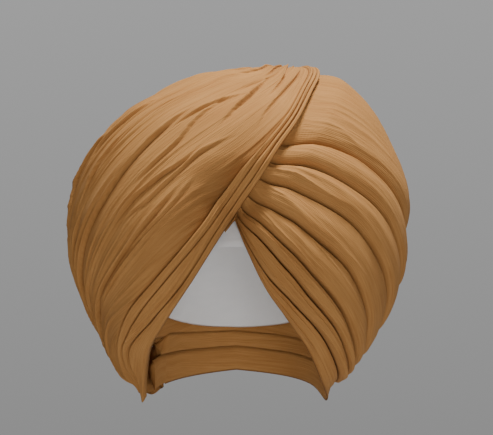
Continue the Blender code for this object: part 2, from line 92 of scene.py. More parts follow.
def unit(vectors):
    return vectors / np.linalg.norm(vectors, axis=-1)[..., None]


def ray(azimuth, elevation):
    level = np.cos(elevation)
    return np.stack([np.sin(azimuth) * level, -np.cos(azimuth) * level, np.sin(elevation)], -1)


def angles(direction):
    length = np.linalg.norm(direction, axis=-1)
    azimuth = np.arctan2(direction[..., 0], -direction[..., 1])
    return azimuth, np.arcsin(np.clip(direction[..., 2] / length, -1, 1))


def spot(azimuth, elevation, radius):
    """The point at a distance along a ray from the heart."""
    point = ray(azimuth, elevation) * radius[..., None]
    point[..., 2] -= HEART_DROP
    return point


# %% [markdown]
# ## The head's hollow and the outside of the wraps
#
# The hollow is an oval under a dome. The depth of cloth beyond it follows the turban's outline at the
# two sides and the top; at the front and the back it is chosen to suit. A smooth curve joins the
# rows. The lower rim is highest at the peak over the brow and lowest at the ears.

# %% Sizes of the head and the wraps
HEAD_WIDTH = 148 * MM
HEAD_LENGTH = 194 * MM
HEAD_DOME = 95 * MM
DOME_POWER = 2.3
HALVINGS = 40
CAP_WALL = 2 * MM
CAP_SLACK = 2.2 * MM
WRAP_DEPTH = 80 * MM
RIM_THICKNESS = 8 * MM
RIM_ROUNDING = 34 * MM
RIM_STEP_DEGREES = 3
PEAK_DROP = 31 * MM
EAR_DROP = 171 * MM
GAP = 0.4 * MM
CHUNK = 4000

# elevation, then shares of WRAP_DEPTH at the front, the wearer's left, the back and the right
BODY = np.array([
    (-60, 0.1, 0.13, 0.06, 0.16),
    (-52, 0.13, 0.385, 0.16, 0.42),
    (-45, 0.16, 0.555, 0.26, 0.54),
    (-30, 0.31, 0.76, 0.6, 0.66),
    (-15, 0.4, 0.9, 0.78, 0.83),
    (0, 0.54, 1.01, 0.94, 0.95),
    (15, 0.69, 1.145, 1.08, 1.025),
    (30, 0.9, 1.22, 1.18, 1.08),
    (45, 1.08, 1.33, 1.24, 1.12),
    (60, 1.15, 1.385, 1.25, 1.12),
    (75, 1.19, 1.29, 1.22, 1.175),
    (90, 1.2, 1.2, 1.2, 1.2),
])

# azimuth either way, how far the rim has come down on the wearer's right and left
RIM = np.array([
    (0, 0.0, 0.0),
    (6, 0.08, 0.17),
    (12, 0.165, 0.325),
    (24, 0.4, 0.515),
    (40, 0.6, 0.7),
    (60, 0.785, 0.905),
    (80, 0.96, 1.01),
    (90, 1.05, 1.035),
    (100, 1.05, 1.05),
    (130, 0.99, 0.98),
    (180, 0.92, 0.92),
])


# %% Distances of the head, the rim and the outside
def head_reach(azimuth, height):
    """Half width of the head in one direction at one height."""
    across = np.sin(azimuth) / (HEAD_WIDTH / 2)
    along = np.cos(azimuth) / (HEAD_LENGTH / 2)
    up = np.clip(1 + height / HEAD_DOME, 0, 1)
    return (1 - up ** DOME_POWER) ** (1 / DOME_POWER) / np.sqrt(across ** 2 + along ** 2)


def head_radius(azimuth, elevation):
    """Distance from the heart to the head, by halving."""
    azimuth, elevation = np.broadcast_arrays(azimuth, elevation)
    near = np.zeros(azimuth.shape)
    far = np.full(azimuth.shape, 2 * HEAD_LENGTH + EAR_DROP)
    for _ in range(HALVINGS):
        middle = (near + far) / 2
        height = middle * np.sin(elevation) - HEART_DROP
        level = middle * np.cos(elevation)
        inside = (height < 0) & (level < head_reach(azimuth, np.minimum(height, 0)))
        near = np.where(inside, middle, near)
        far = np.where(inside, far, middle)
    return near


def seat_radius(azimuth, elevation):
    """Inside of the wraps, just over the under-turban."""
    return head_radius(azimuth, elevation) + CAP_WALL + CAP_SLACK


def rim_elevation(azimuth):
    """Elevation of the lower rim."""
    turn = np.arctan2(np.sin(azimuth), np.cos(azimuth))
    away = np.abs(np.degrees(turn))
    share = np.where(turn < 0, through(RIM[:, 0], RIM[:, 1], away), through(RIM[:, 0], RIM[:, 2], away))
    height = -(PEAK_DROP + (EAR_DROP - PEAK_DROP) * share)
    return np.arctan2(height + HEART_DROP, head_reach(azimuth, height))


def elevation_at(azimuth, rise):
    """Rise is 0 at the rim and 1 at the crown."""
    rim = rim_elevation(azimuth)
    return rim + (math.pi / 2 - rim) * rise


def distance_to_line(places, line):
    """Shortest distance from places to points joined by straight stretches."""
    start = line[:-1]
    step = line[1:] - start
    shape = places.shape[:-1]
    places = places.reshape(-1, 3)
    nearest = np.empty(len(places))
    for first in range(0, len(places), CHUNK):
        offset = places[first:first + CHUNK, None, :] - start
        share = np.clip((offset * step).sum(-1) / (step * step).sum(-1), 0, 1)
        beside = offset - share[..., None] * step
        nearest[first:first + CHUNK] = np.sqrt((beside * beside).sum(-1).min(-1))
    return nearest.reshape(shape)


def above_rim(azimuth, elevation):
    """Distance from the rim; zero below it."""
    turns = np.radians(np.arange(-180, 180 + RIM_STEP_DEGREES, RIM_STEP_DEGREES))
    height = rim_elevation(turns)
    rim = spot(turns, height, head_radius(turns, height) + RIM_THICKNESS)
    place = spot(azimuth, elevation, head_radius(azimuth, elevation) + RIM_THICKNESS)
    return np.where(elevation > rim_elevation(azimuth), distance_to_line(place, rim), 0)


def body_radius(azimuth, elevation):
    """Outside of the wraps without their folds."""
    cos = np.cos(azimuth)
    sin = np.sin(azimuth)
    front = np.where(cos > 0, cos * cos, 0)
    back = np.where(cos <= 0, cos * cos, 0)
    left = np.where(sin > 0, sin * sin, 0)
    right = np.where(sin <= 0, sin * sin, 0)
    shares = through(BODY[:, 0], BODY[:, 1:], np.degrees(elevation))
    share = (shares * np.stack([front, left, back, right], -1)).sum(-1)
    rounding = np.sin(np.clip(above_rim(azimuth, elevation) / RIM_ROUNDING, 0, 1) * math.pi / 2)
    beyond_head = RIM_THICKNESS + (WRAP_DEPTH * share - RIM_THICKNESS) * rounding
    return head_radius(azimuth, elevation) + beyond_head


print("peak is", round(math.degrees(float(rim_elevation(np.array(0.0)))), 1), "degrees over the heart")

# %% [markdown]
# ## The course of the outer wrap
#
# The outer wrap starts at one ear, climbs over the brow and the crown and is tucked in at the back.
# A short table gives its front edge, middle and back edge at places along the way. The creases
# between the stacked folds are a second table of rises, read at azimuths round the turban.

# %% The course and the creases
# front edge azimuth and rise, middle azimuth and rise, back edge azimuth and rise,
# edges of the three pleats from the front edge in millimetres, lift of the front and back edges
COURSE = np.array([
    (-89, 0.00, -110, 0.00, -134, 0.00, 3, 6, 9, 0.0, 0.8),
    (-74, 0.00, -104, 0.1, -138, 0.1, 8, 12, 16, 0.0, 0.8),
    (-54, 0.01, -97, 0.2, -143, 0.2, 13, 17.5, 22.5, 0.0, 0.5),
    (-36, 0.01, -91, 0.3, -148, 0.3, 8.5, 18.5, 25.5, 0.1, 0.3),
    (-20, 0.00, -85, 0.39, -153, 0.385, 4.2, 14.5, 20, 0.4, 0.2),
    (-8, 0.00, -79, 0.47, -158, 0.46, 3.6, 8.8, 13.4, 0.9, 0.1),
    (-1.5, 0.02, -72, 0.55, -163, 0.53, 3.6, 7.9, 12.2, 1.0, 0.0),
    (3.5, 0.17, -64, 0.63, -167, 0.57, 4.2, 9, 13.8, 0.8, 0.0),
    (10, 0.352, -54, 0.71, -170, 0.59, 4.4, 9.8, 15, 0.3, 0.0),
    (18, 0.5, -40, 0.79, -173, 0.6, 3.6, 7.2, 10.8, 0.2, 0.0),
    (28, 0.61, -15, 0.87, -176, 0.605, 3.2, 6.4, 9.6, 0.1, 0.0),
    (43, 0.72, 40, 0.93, -179, 0.605, 3.1, 6.2, 9.3, 0.0, 0.0),
    (62, 0.787, 98, 0.94, 178, 0.6, 3.1, 6.2, 9.3, 0.0, 0.0),
    (84, 0.825, 124, 0.9, 176, 0.595, 3.1, 6.2, 9.3, 0.0, 0.0),
    (106, 0.835, 142, 0.85, 175, 0.585, 3.1, 6.2, 9.3, 0.0, 0.0),
    (126, 0.8, 154, 0.77, 174.5, 0.57, 3.1, 6.2, 9.3, 0.0, 0.0),
    (140, 0.73, 162, 0.69, 174.5, 0.55, 3.1, 6.2, 9.3, 0.0, 0.0),
    (149, 0.64, 166.5, 0.605, 175, 0.53, 3.1, 6.2, 9.3, 0.0, 0.0),
    (154, 0.55, 169, 0.53, 175.5, 0.505, 3, 6, 9, 0.0, 0.0),
    (156, 0.47, 170, 0.465, 176, 0.46, 3, 6, 9, 0.0, 0.0),
])

# azimuth, rises of crease 1 to crease 7
CREASES = np.array([
    (-20, 0.03, 0.055, 0.11, 0.2, 0.31, 0.4, 0.49),
    (-5, 0.022, 0.05, 0.11, 0.2, 0.31, 0.4, 0.49),
    (0, 0.022, 0.06, 0.135, 0.22, 0.33, 0.41, 0.5),
    (5, 0.032, 0.105, 0.175, 0.255, 0.35, 0.425, 0.51),
    (10, 0.045, 0.145, 0.205, 0.285, 0.37, 0.44, 0.52),
    (20, 0.06, 0.145, 0.205, 0.3, 0.395, 0.465, 0.54),
    (30, 0.066, 0.125, 0.185, 0.29, 0.4, 0.485, 0.56),
    (45, 0.064, 0.108, 0.155, 0.26, 0.38, 0.475, 0.56),
    (60, 0.054, 0.086, 0.121, 0.195, 0.323, 0.434, 0.525),
    (75, 0.042, 0.067, 0.092, 0.132, 0.248, 0.36, 0.458),
    (90, 0.034, 0.056, 0.078, 0.097, 0.165, 0.28, 0.396),
    (120, 0.034, 0.058, 0.083, 0.11, 0.185, 0.295, 0.41),
    (150, 0.036, 0.063, 0.091, 0.128, 0.22, 0.325, 0.44),
    (180, 0.038, 0.068, 0.1, 0.145, 0.24, 0.345, 0.465),
    (210, 0.04, 0.073, 0.11, 0.17, 0.27, 0.375, 0.5),
    (240, 0.042, 0.078, 0.118, 0.18, 0.28, 0.385, 0.5),
    (290, 0.042, 0.07, 0.118, 0.2, 0.3, 0.4, 0.5),
    (340, 0.03, 0.055, 0.11, 0.2, 0.31, 0.4, 0.49),
])

# azimuths where each stacked fold starts and ends, both hidden under the outer wrap
LARH_SPANS = [(-5, 240), (-5, 230), (-5, 230), (0, 230), (0, 230), (5, 220), (10, 210), (20, 200)]
TAIL_TURNS = (142, 180)
TAIL_LEVEL = 0.60
TAIL_CLEARANCE = 5
CLOSEST_TURNS = 0.5
CROWN_TUCK = 0.05


# %% Where the outer wrap covers the folds
def cover_line():
    """The outer wrap's edge where it lies over the stacked folds: azimuths in degrees and rises."""
    front = np.concatenate([COURSE[6:, 0:2], COURSE[-1:, 2:4]])
    back = COURSE[:, 4:6][::-1].copy()
    back[:, 0] = np.where(back[:, 0] < 0, back[:, 0] + FULL_TURN, back[:, 0])
    back = back[back[:, 0] > front[-1, 0] + TAIL_CLEARANCE]
    line = np.concatenate([front, back])
    order = np.argsort(line[:, 0], kind="stable")
    line = line[order]
    keep = np.concatenate([[True], np.diff(line[:, 0]) > CLOSEST_TURNS])
    return line[keep]


def cover_rise(azimuth):
    line = cover_line()
    return through(line[:, 0], line[:, 1], np.degrees(azimuth))


def under_wrap(azimuth, rise):
    """Signed distance past the outer wrap's edge, positive under the wrap."""
    line = cover_line()
    turns = np.radians(np.arange(line[0, 0], line[-1, 0], RIM_STEP_DEGREES))
    rises = through(line[:, 0], line[:, 1], np.degrees(turns))
    edge = spot(turns, elevation_at(turns, rises), body_radius(turns, elevation_at(turns, rises)))
    elevation = elevation_at(azimuth, rise)
    place = spot(azimuth, elevation, body_radius(azimuth, elevation))
    distance = distance_to_line(place, edge)
    degrees = np.degrees(azimuth)
    inside = (rise > cover_rise(azimuth)) | (degrees > line[-1, 0]) | (degrees < line[0, 0])
    return np.where(inside, distance, -distance)


# %% Rises of the creases, with the small wander of cloth laid by hand
WANDER = 0.0035
WANDER_TURN = 26
WANDER_SPACING, WANDER_SEED = 7.3, 11
FULL_WANDER_LEVEL = 4
DRIFT_CELLS = 64


def drift(along, across, seed):
    """Smooth seeded unevenness from -1 to 1, in cells one unit wide."""
    table = np.random.default_rng(seed).uniform(-1, 1, (DRIFT_CELLS, DRIFT_CELLS))
    along, across = np.broadcast_arrays(along, across)
    column = np.floor(along).astype(int)
    row = np.floor(across).astype(int)
    right = smooth_step(along - column)
    up = smooth_step(across - row)
    here, below = column % DRIFT_CELLS, row % DRIFT_CELLS
    beside, above = (column + 1) % DRIFT_CELLS, (row + 1) % DRIFT_CELLS
    low = table[here, below] * (1 - right) + table[beside, below] * right
    high = table[here, above] * (1 - right) + table[beside, above] * right
    return low * (1 - up) + high * up


def crease_rise(level, azimuth):
    """Rise of a crease between the stacked folds; level 0 is the rim, level 8 the crown fold's top."""
    degrees = np.degrees(azimuth)
    if level == 0:
        return np.zeros(np.shape(azimuth))
    if level == len(LARH_SPANS):
        beside_tail = (degrees > TAIL_TURNS[0]) & (degrees < TAIL_TURNS[1])
        return np.maximum(cover_rise(azimuth), np.where(beside_tail, TAIL_LEVEL, 0)) + CROWN_TUCK
    wander = WANDER * min(1, level / FULL_WANDER_LEVEL)
    planned = through(CREASES[:, 0], CREASES[:, level], degrees)
    return planned + wander * drift(degrees / WANDER_TURN, level * WANDER_SPACING, WANDER_SEED)


print("crease 4 at the side is at rise", round(float(crease_rise(4, np.array(math.pi / 2))), 3))

# %% [markdown]
# ## Brown muslin
#
# The cloth is a fine, matt cotton muslin with a slight crinkle. Each mesh carries a cloth map in
# metres, along the winding and across it, so the weave keeps its real pitch on every piece. Ribs run
# along the winding with fainter ones across it. Long soft streaks change the colour a little, and a
# low sheen stands for the fuzz of the yarn. A painted shade, given by each mesh point by point,
# darkens the colour in creases, slits and hollows.

# %% A small helper for node trees
class Tree:
    """Adds nodes to one material and joins them by name."""

    def __init__(self, name):
        self.material = bpy.data.materials.new(name)
        self.material.use_nodes = True
        self.tree = self.material.node_tree
        self.shader = self.tree.nodes["Principled BSDF"]

    def add(self, kind, links=None, **settings):
        node = self.tree.nodes.new("ShaderNode" + kind)
        for key, value in settings.items():
            setattr(node, key, value)
        for socket, source in (links or {}).items():
            if hasattr(source, "node"):
                self.tree.links.new(source, node.inputs[socket])
            else:
                node.inputs[socket].default_value = source
        return node

    def math(self, operation, first, second=0.0):
        return self.add("Math", {0: first, 1: second}, operation=operation).outputs[0]

    def set(self, socket, source):
        if hasattr(source, "node"):
            self.tree.links.new(source, self.shader.inputs[socket])
        else:
            self.shader.inputs[socket].default_value = source


RIB_PITCH = 1.5 * MM
CROSS_PITCH = 1.15 * MM


def stretched(tree, place, along, across, detail=2.0):
    """Noise in cells of one length along the winding and another across it."""
    scaled = tree.add("VectorMath", {0: place, 1: (1 / along, 1 / across, 1.0)}, operation="MULTIPLY")
    return tree.add("TexNoise", {"Vector": scaled.outputs[0], "Scale": 1.0, "Detail": detail,
                                 "Roughness": 0.55}).outputs["Fac"]


# %% The muslin
# Painted shade: the dark brown that the colour is mixed towards in creases, slits and hollows.
PAINTED_SHADE_COLOUR = (0.12, 0.04, 0.010)
TONE_RANGE = (0.36, 0.64)
STREAK_TONE, FINE_TONE, PATCH_TONE = 0.5, 0.22, 0.28
STREAK_RELIEF, FINE_RELIEF, WEAVE_RELIEF = 1.2, 0.9, 0.4
RIB_SHARE, CROSS_SHARE = 0.6, 0.4
RIB_WANDER, CROSS_WANDER = 9.0, 7.0


def make_muslin(name, dark, base, light):
    tree = Tree(name)
    place = tree.add("UVMap", uv_map="cloth").outputs[0]
    streaks = stretched(tree, place, 60 * MM, 2.2 * MM, 3.0)
    fine_streaks = stretched(tree, place, 22 * MM, 0.8 * MM, 2.0)
    patches = stretched(tree, place, 45 * MM, 30 * MM, 2.0)
    tone = tree.math("ADD", tree.math("MULTIPLY", streaks, STREAK_TONE),
                     tree.math("MULTIPLY", fine_streaks, FINE_TONE))
    tone = tree.math("ADD", tone, tree.math("MULTIPLY", patches, PATCH_TONE))
    ramp = tree.add("ValToRGB", {"Fac": tone})
    ramp.color_ramp.elements[0].position = TONE_RANGE[0]
    ramp.color_ramp.elements[0].color = (*dark, 1)
    ramp.color_ramp.elements[1].position = TONE_RANGE[1]
    ramp.color_ramp.elements[1].color = (*light, 1)
    middle = ramp.color_ramp.elements.new(0.5)
    middle.color = (*base, 1)
    # Painted shade: a value stored on each mesh point mixes the colour towards the dark brown, standing in
    # for the shade in creases, slits and hollows.
    painted_shade = tree.add("Attribute", attribute_name="painted_shade").outputs["Fac"]
    shaded = tree.add("Mix", {"Factor": painted_shade, "A": ramp.outputs["Color"], "B": (*PAINTED_SHADE_COLOUR, 1)},
                      data_type="RGBA").outputs["Result"]
    tree.set("Base Color", shaded)
    parts = tree.add("SeparateXYZ", {0: place})
    bend = stretched(tree, place, 30 * MM, 9 * MM, 1.0)
    rib = tree.math("ADD", tree.math("MULTIPLY", parts.outputs["Y"], 2 * math.pi / RIB_PITCH),
                    tree.math("MULTIPLY", bend, RIB_WANDER))
    cross = tree.math("ADD", tree.math("MULTIPLY", parts.outputs["X"], 2 * math.pi / CROSS_PITCH),
                      tree.math("MULTIPLY", bend, CROSS_WANDER))
    weave = tree.math("ADD", tree.math("MULTIPLY", tree.math("SINE", rib), RIB_SHARE),
                      tree.math("MULTIPLY", tree.math("SINE", cross), CROSS_SHARE))
    crinkle = tree.math("ADD", tree.math("MULTIPLY", streaks, STREAK_RELIEF),
                        tree.math("MULTIPLY", fine_streaks, FINE_RELIEF))
    height = tree.math("ADD", tree.math("MULTIPLY", weave, WEAVE_RELIEF), crinkle)
    bump = tree.add("Bump", {"Height": height, "Strength": 0.5, "Distance": 0.5 * MM})
    tree.set("Normal", bump.outputs[0])
    tree.set("Roughness", 0.9)
    tree.set("Specular IOR Level", 0.1)
    tree.set("Sheen Weight", 0.03)
    tree.set("Sheen Roughness", 0.45)
    tree.set("Sheen Tint", (1.0, 0.82, 0.6, 1.0))
    return tree.material


DARK_BROWN = (0.38, 0.172, 0.052)
MID_BROWN = (0.438, 0.21, 0.066)
LIGHT_BROWN = (0.495, 0.246, 0.082)
muslin = make_muslin("brown_muslin", DARK_BROWN, MID_BROWN, LIGHT_BROWN)
print("brown muslin ribs are", round(RIB_PITCH * 1000, 2), "mm apart")


# %% [markdown]
# ## White cotton
#
# The under-turban is a thin plain cotton. It only shows in the peak and inside, so its finish is a
# fine even weave with faint creases, a little grey where the cloth over it shades it.

# %% The cotton
COTTON_PITCH = 1.0 * MM


def make_cotton(name):
    tree = Tree(name)
    place = tree.add("UVMap", uv_map="cloth").outputs[0]
    cloudy = stretched(tree, place, 14 * MM, 9 * MM, 3.0)
    ramp = tree.add("ValToRGB", {"Fac": cloudy})
    ramp.color_ramp.elements[0].color = (0.88, 0.88, 0.88, 1)
    ramp.color_ramp.elements[1].color = (0.94, 0.94, 0.935, 1)
    tree.set("Base Color", ramp.outputs["Color"])
    parts = tree.add("SeparateXYZ", {0: place})
    warp = tree.math("SINE", tree.math("MULTIPLY", parts.outputs["X"], 2 * math.pi / COTTON_PITCH))
    weft = tree.math("SINE", tree.math("MULTIPLY", parts.outputs["Y"], 2 * math.pi / COTTON_PITCH))
    height = tree.math("ADD", tree.math("MULTIPLY", tree.math("MULTIPLY", warp, weft), 0.4),
                       tree.math("MULTIPLY", cloudy, 3.0))
    bump = tree.add("Bump", {"Height": height, "Strength": 0.35, "Distance": 0.4 * MM})
    tree.set("Normal", bump.outputs[0])
    tree.set("Roughness", 0.88)
    tree.set("Specular IOR Level", 0.25)
    tree.set("Sheen Weight", 0.1)
    return tree.material


cotton = make_cotton("white_cotton")
print("finishes", muslin.name, cotton.name)

# %% [markdown]
# ## From grids of points to pieces
#
# Every piece is a grid of points: stations along the cloth, and points across it. Cells between them
# become faces. A padded fold is a closed tube with its two ends shut. The cloth map is laid at the
# same time, from the real distances along and across the grid.

# %% Make a mesh from a grid
def lay_grid(name, points, finish, closed_across=False, closed_along=False, ends=False,
             depth=None, cloth_across=None):
    """A smooth mesh over a grid of points, with its cloth map in metres and the painted shade of its
    creases.
    """
    rows, columns = points.shape[:2]
    row = np.arange(rows if closed_along else rows - 1)[:, None]
    column = np.arange(columns if closed_across else columns - 1)[None, :]
    beside = (column + 1) % columns
    after = (row + 1) % rows
    cells = np.stack([row * columns + column, row * columns + beside,
                      after * columns + beside, after * columns + column], -1).reshape(-1, 4)
    middle = points.reshape(-1, 3).mean(0)
    corners = points.reshape(-1, 3)[cells] - middle
    volume = np.einsum("ij,ij->", corners[:, 0], np.cross(corners[:, 1], corners[:, 2]))
    if volume < 0:
        cells = cells[:, ::-1]
    faces = cells.tolist()
    if ends:
        first = list(range(columns))
        last = list(range((rows - 1) * columns, rows * columns))
        faces += [first if volume < 0 else first[::-1], last[::-1] if volume < 0 else last]
    mesh = bpy.data.meshes.new(name)
    mesh.from_pydata(points.reshape(-1, 3).tolist(), [], faces)
    along = np.zeros((rows, columns))
    along[1:] = np.cumsum(np.linalg.norm(np.diff(points, axis=0), axis=-1), 0)
    along[:] = along[:, columns // 4:columns // 4 + 1]
    across = np.zeros((rows, columns))
    across[:, 1:] = np.cumsum(np.linalg.norm(np.diff(points, axis=1), axis=-1), 1)
    if cloth_across is not None:
        across = cloth_across
    place = np.stack([along, across], -1).reshape(-1, 2)
    corner = np.empty(len(mesh.loops), int)
    mesh.loops.foreach_get("vertex_index", corner)
    cloth_map = mesh.uv_layers.new(name="cloth")
    cloth_map.data.foreach_set("uv", place[corner].astype(np.float32).ravel())
    # Painted shade: depth, from 0 to 1, says how much the colour is darkened in creases, slits and hollows,
    # where shade falls.
    painted_shade = mesh.attributes.new("painted_shade", "FLOAT", "POINT")
    if depth is not None:
        painted_shade.data.foreach_set("value", depth.astype(np.float32).ravel())
    mesh.shade_smooth()
    mesh.materials.append(finish)
    piece = bpy.data.objects.new(name, mesh)
    bpy.context.scene.collection.objects.link(piece)
    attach(piece, "root")
    print(name, rows, "by", columns, "points,", len(mesh.polygons), "faces")
    return piece


# %% [markdown]
# ## The under-turban
#
# The cap is a thin dome that slopes from the brow to the nape. Its hem is turned up once and sewn, so
# the last few millimetres are thicker, with a row of small stitches above them. A grid of rings makes
# it quickly, and the inside is a second grid joined at the hem.

# %% Build the cap
CAP_BROW_DROP = 51.5 * MM
CAP_NAPE_DROP = 125 * MM
CAP_SIDES = 220
CAP_RINGS = 70
HEM_WIDTH = 5 * MM
HEM_THICKNESS = 0.5 * MM
STITCH_PITCH = 2.4 * MM
STITCH_DEPTH, SEAM_WIDTH, HEM_STEP = 0.25 * MM, 0.5 * MM, 0.6 * MM
SLACK_HEIGHT, SLACK_LENGTH, SLACK_TURNS, SLACK_SEED = 0.35 * MM, 16 * MM, 9, 21
NEAR_CROWN = 0.999
HEM_CROWDING = 1.5


def build_cap():
    azimuth = np.radians(np.arange(CAP_SIDES) * FULL_TURN / CAP_SIDES)[:, None]
    nape = (1 - np.cos(azimuth)) / 2
    height = -(CAP_BROW_DROP + (CAP_NAPE_DROP - CAP_BROW_DROP) * nape)
    hem = np.arctan2(height + HEART_DROP, head_reach(azimuth, height))
    share = np.linspace(0, 1, CAP_RINGS)[None, :] ** HEM_CROWDING * NEAR_CROWN
    elevation = hem + (math.pi / 2 - hem) * share
    head = head_radius(azimuth, elevation)
    from_hem = (elevation - hem) * head
    azimuth = azimuth + 0 * elevation
    turned_up = HEM_THICKNESS * smooth_step((HEM_WIDTH - from_hem) / HEM_STEP + 0.5)
    seam = np.exp(-((from_hem - HEM_WIDTH) / SEAM_WIDTH) ** 2)
    round_hem = azimuth * head * np.cos(elevation)
    stitch = STITCH_DEPTH * seam * np.cos(round_hem * 2 * math.pi / STITCH_PITCH)
    slack = SLACK_HEIGHT * drift(azimuth * SLACK_TURNS, from_hem / SLACK_LENGTH, SLACK_SEED)
    cloth = head + CAP_WALL - HEM_THICKNESS + turned_up + stitch + slack
    outside = spot(azimuth, elevation, cloth)
    inside = spot(azimuth, elevation, head + 0 * head)
    return np.concatenate([inside[:, ::-1], outside], 1)


cap_points = build_cap()
cap = lay_grid("under_turban_cloth", cap_points, cotton, closed_along=True)
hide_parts("under_turban")

# %% [markdown]
# ## The inner wraps
#
# Under the visible folds lie many wound layers. Only slivers of them show from outside, and their
# inner face shows in the hollow, so one padded dome stands for them, with the low steps of the
# layers wound round its inside.

# %% Build the inner wraps
LARH_DEPTH = 20 * MM
LARH_DEPTH_SHARE = 0.72
CORE_MIN_WALL = 2.5 * MM
FACET_ROOM = 2 * MM
OUTER_WALL = 3 * MM
CORE_BAND = 24 * MM
PLEAT_THICKNESS = 5 * MM
PLEAT_RELIEF = 1.8 * MM
CORE_STATIONS = 240
CORE_RINGS = 60
LAYER_STEP = 1.1 * MM
LAYER_WIDTH = 0.085
LAYER_WANDER, LAYER_SLOPE, LAYER_SEED = 0.6, 1.2, 31
PLAIN_RIM = 0.1


def room(azimuth, elevation):
    """Thickness of all the wraps at one place."""
    return body_radius(azimuth, elevation) - seat_radius(azimuth, elevation)


def larh_floor(azimuth, rise):
    """Underside of a stacked fold that lies on the inner wraps."""
    elevation = elevation_at(azimuth, rise)
    depth = np.minimum(LARH_DEPTH, LARH_DEPTH_SHARE * room(azimuth, elevation))
    return body_radius(azimuth, elevation) - depth


def build_inner_wraps():
    azimuth = np.radians(np.arange(CORE_STATIONS) * FULL_TURN / CORE_STATIONS)[:, None]
    degrees = np.degrees(azimuth)
    degrees = np.where(degrees > CREASES[-1, 0], degrees - FULL_TURN, degrees)
    low = through(CREASES[:, 0], CREASES[:, 2], degrees)
    rise = low + (1 - low) * np.linspace(0, NEAR_CROWN, CORE_RINGS)[None, :]
    azimuth = azimuth + 0 * rise
    elevation = elevation_at(azimuth, rise)
    body = body_radius(azimuth, elevation)
    past_edge = under_wrap(azimuth, rise)
    under_pleats = PLEAT_THICKNESS + PLEAT_RELIEF + FACET_ROOM
    close = body - np.minimum(under_pleats, OUTER_WALL + FACET_ROOM + GAP)
    low_floor = larh_floor(azimuth, rise) - GAP
    blend = smooth_step((past_edge - CORE_BAND - PLEAT_THICKNESS) / CORE_BAND)
    outside = low_floor + (close - low_floor) * blend - FACET_ROOM * (1 - blend)
    seat = seat_radius(azimuth, elevation)
    outside = np.maximum(outside, seat + CORE_MIN_WALL)
    layer = (rise / LAYER_WIDTH + LAYER_WANDER * drift(azimuth * 2, rise * 3, LAYER_SEED)) % 1
    inside = seat + LAYER_STEP * (1 - smooth_step(layer * LAYER_SLOPE)) * smooth_step(rise / PLAIN_RIM)
    return np.concatenate([spot(azimuth, elevation, inside)[:, ::-1], spot(azimuth, elevation, outside)], 1)


core = lay_grid("inner_wraps_cloth", build_inner_wraps(), muslin, closed_along=True)
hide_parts("inner_wraps")

# %% [markdown]
# ## The stacked folds
#
# Each fold is cloth doubled over: soft and full, with a round lower lip that hangs over the fold
# below it and a longer slope that runs in under the fold above. A tube of sections follows the two
# crease lines. Along each fold run a few low secondary folds that are sharper where it comes out
# from under the outer wrap.

# %% How the folds are pressed in and creased
CREASE_DEPTH = 12 * MM
CREASE_WIDTH_SHARE = 0.55
CREASE_DEPTH_SHARE = 0.5
PRESS_DEPTH = 7.5 * MM
PRESS_DEPTH_SHARE = 0.38
PUFF_LENGTH = 24 * MM
CROWN_PRESS = 0.65
CROWN_FROM = 0.5
CROWN_BLEND = 0.2
LIP_LENGTH = 11 * MM
LIP_SHARE = 0.42
SLOPE_FROM = 0.5
SLOPE_DIP = 0.36
SLOPE_CURVE = 1.6
TUCK_FROM = 0.93


def press(azimuth, rise):
    """How far the folds are pressed in where they come out from under the outer wrap."""
    elevation = elevation_at(azimuth, rise)
    most = np.minimum(PRESS_DEPTH, PRESS_DEPTH_SHARE * room(azimuth, elevation))
    most = most * (1 + (CROWN_PRESS - 1) * smooth_step((rise - CROWN_FROM) / CROWN_BLEND))
    return most * smooth_step(1 + under_wrap(azimuth, rise) / PUFF_LENGTH)


def fold_dip(share, lip):
    """Share of the crease's depth at each share of a fold's width."""
    slope = SLOPE_DIP * np.clip((share - SLOPE_FROM) / (1 - SLOPE_FROM), 0, 1) ** SLOPE_CURVE
    tuck = (1 - SLOPE_DIP) * np.clip((share - TUCK_FROM) / (1 - TUCK_FROM), 0, 1) ** 2
    return rounded(share / lip) + slope + tuck


# %% [markdown]
# Where the folds leave the outer wrap they are creased the most: thin crests run out along them,
# sloping a little across, and small dents pinch the lips. Further round the cloth is full and
# nearly plain. The three folds beside the face are pressed flat, so they carry thin sharp crests.

# %% Low folds along a fold
FAN_CREST = 7.5 * MM
FAN_HEIGHT = 0.4 * MM
FAN_START_HEIGHT = 1.7 * MM
FAN_TURNS, END_TURNS, SLANT_TURNS = 75, 30, 34
FAN_BEND = 0.7
FINE_HEIGHT = 0.45 * MM
PINCH_DEPTH, PINCH_FROM, PINCH_SLANT = 1.1 * MM, 0.25, 0.35 / 24
BROAD_HEIGHT = 0.9 * MM
FOLD_DROP = 0.6 * MM
LIP_PLAIN, TUCK_PLAIN = 0.12, 0.1
LAST_FLAT_FOLD = 2

# length of a cell in degrees, cells across a fold, seed
BENDING, CRESTING, COMING = (23, 2.0, 40), (30, 1.0, 60), (17, 2.3, 70)
FINE, PINCHING, BROAD = (21, 2.3, 75), (8, 3.0, 80), (22, 1.7, 100)


def fold_drift(kind, turn, across, number):
    cell, count, seed = kind
    return drift(turn / cell, across * count, seed + number)


